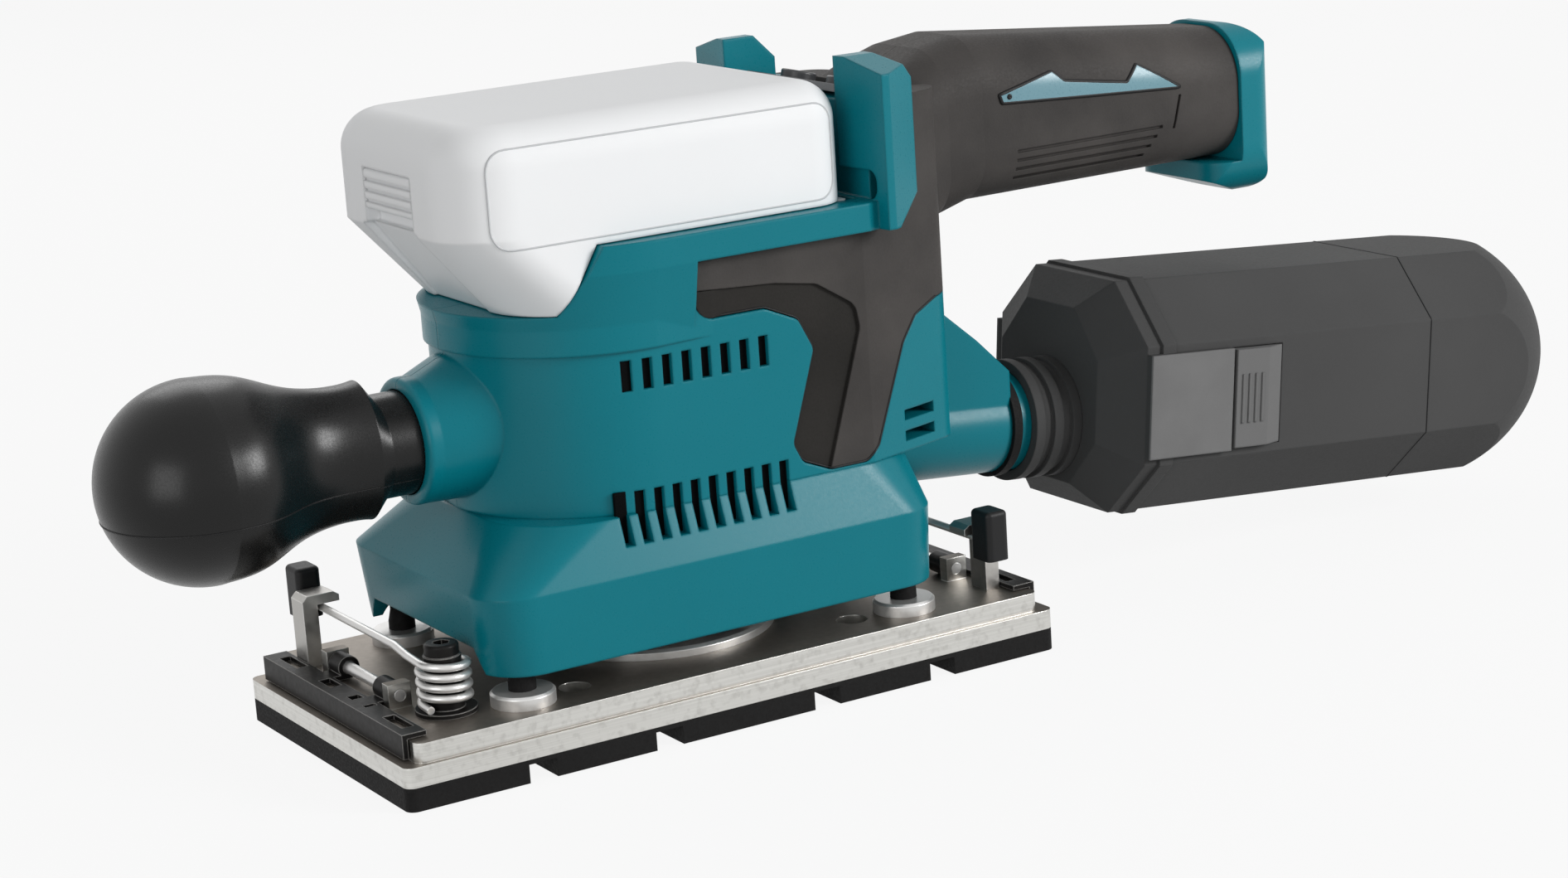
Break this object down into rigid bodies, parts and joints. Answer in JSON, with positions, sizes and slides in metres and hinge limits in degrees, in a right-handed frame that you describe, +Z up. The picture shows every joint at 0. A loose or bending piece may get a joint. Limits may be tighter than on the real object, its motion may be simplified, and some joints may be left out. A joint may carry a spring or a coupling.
{
  "type": "orbital sander",
  "caption": "Cordless finishing sander with a rectangular pad, wire-lever paper clamps, front knob, rear handle, slide-on battery and a dust box.",
  "frame": {"origin": "middle of the rubber pad's underside", "axes": "+X to the rear towards the dust box, -X towards the front knob, -Y the tool's left side, +Z up"},
  "size_m": [0.4375, 0.093, 0.1583],
  "materials": {
    "shell": "satin moulded, fine texture",
    "grip": "matt soft overmould",
    "inlay": "satin",
    "black": "matt, fine texture",
    "knob": "satin",
    "pack": "satin, pale",
    "alloy": "milled edge, cast top",
    "steel": "bright",
    "dark_steel": "blackened",
    "rubber": "matt",
    "copper": "lacquered wire",
    "board": "gloss",
    "paper": "matt paper",
    "key": "satin"
  },
  "bodies": {
    "housing": {"housing_left": "shell", "housing_right": "shell", "base_skirt": "shell", "skirt_seal": "rubber", "grip_left": "grip", "grip_right": "grip", "inlay_left": "inlay", "inlay_right": "inlay", "housing_screws": "dark_steel", "handle_end_cap": "shell", "switch_panel": "black", "knob_upper": "knob", "knob_lower": "knob", "knob_bolt": "steel", "motor_bracket": "alloy", "lower_bearing": "steel", "upper_bearing": "steel", "stator_core": "dark_steel", "stator_coils": "copper", "control_board": "board", "battery_terminal": "black", "dust_nozzle": "shell", "spout_ring": "rubber"},
    "rotor": {"motor_shaft": "steel", "counterweight": "steel", "cooling_fan": "black", "rotor_core": "dark_steel"},
    "pad": {"rubber_pad": "rubber", "base_plate": "alloy", "bearing_retainer": "steel", "retainer_screws": "steel", "pad_bearing": "steel", "pad_legs": "rubber", "leg_washers": "steel", "lever_posts": "steel", "clamp_catches": "dark_steel", "clamp_pins": "steel"},
    "front_lever": {"front_lever_wire": "steel", "front_lever_cap": "black"},
    "rear_lever": {"rear_lever_wire": "steel", "rear_lever_cap": "black"},
    "front_clamp": {"front_clamp_plate": "dark_steel"},
    "rear_clamp": {"rear_clamp_plate": "dark_steel"},
    "battery": {"battery_case": "pack", "battery_shoe": "pack", "battery_cells": "steel"},
    "release": {"battery_release": "pack"},
    "power_key": {"power_button": "key"},
    "speed_key": {"speed_button": "key"},
    "dust_box": {"dust_cover": "black", "dust_collar": "rubber"},
    "cartridge": {"dust_cartridge": "black", "dust_filter": "paper"},
    "left_latch": {"latch_left": "black"},
    "right_latch": {"latch_right": "black"}
  },
  "joints": [
    {"name": "motor_spin", "type": "hinge", "parent": "housing", "child": "rotor", "pos_m": [-0.001, 0, 0.05], "axis": [0, 0, 1], "continuous": true},
    {"name": "pad_orbit", "type": "hinge", "parent": "rotor", "child": "pad", "pos_m": [0, 0, 0.02], "axis": [0, 0, 1], "continuous": true},
    {"name": "front_lever_swing", "type": "hinge", "parent": "pad", "child": "front_lever", "pos_m": [-0.072, -0.027, 0.02], "axis": [0, 0, -1], "range_deg": [0, 6], "stiffness_Nm_per_rad": 0.6},
    {"name": "rear_lever_swing", "type": "hinge", "parent": "pad", "child": "rear_lever", "pos_m": [0.072, 0.027, 0.02], "axis": [0, 0, -1], "range_deg": [0, 6], "stiffness_Nm_per_rad": 0.6},
    {"name": "front_clamp_open", "type": "hinge", "parent": "pad", "child": "front_clamp", "pos_m": [-0.0796, 0, 0.019], "axis": [0, 1, 0], "range_deg": [0, 12], "stiffness_Nm_per_rad": 0.4},
    {"name": "rear_clamp_open", "type": "hinge", "parent": "pad", "child": "rear_clamp", "pos_m": [0.0796, 0, 0.019], "axis": [0, -1, 0], "range_deg": [0, 12], "stiffness_Nm_per_rad": 0.4},
    {"name": "battery_slide", "type": "slide", "parent": "housing", "child": "battery", "axis": [-1, 0, 0], "range_m": [0, 0.11]},
    {"name": "release_press", "type": "slide", "parent": "battery", "child": "release", "axis": [0, 0, -1], "range_m": [0, 0.003], "stiffness_N_per_m": 900},
    {"name": "power_press", "type": "slide", "parent": "housing", "child": "power_key", "axis": [-0.2588, 0, -0.9659], "range_m": [0, 0.0008], "stiffness_N_per_m": 1500},
    {"name": "speed_press", "type": "slide", "parent": "housing", "child": "speed_key", "axis": [-0.2588, 0, -0.9659], "range_m": [0, 0.0008], "stiffness_N_per_m": 1500},
    {"name": "dust_box_slide", "type": "slide", "parent": "housing", "child": "dust_box", "axis": [0.9962, 0, -0.0872], "range_m": [0, 0.06]},
    {"name": "cartridge_slide", "type": "slide", "parent": "dust_box", "child": "cartridge", "axis": [0.9962, 0, -0.0872], "range_m": [0, 0.05]},
    {"name": "left_latch_press", "type": "slide", "parent": "cartridge", "child": "left_latch", "axis": [0, 1, 0], "range_m": [0, 0.0015], "stiffness_N_per_m": 900},
    {"name": "right_latch_press", "type": "slide", "parent": "cartridge", "child": "right_latch", "axis": [0, -1, 0], "range_m": [0, 0.0015], "stiffness_N_per_m": 900}
  ],
  "couplings": [
    {"joint": "pad_orbit", "follows": "motor_spin", "ratio": -1}
  ]
}
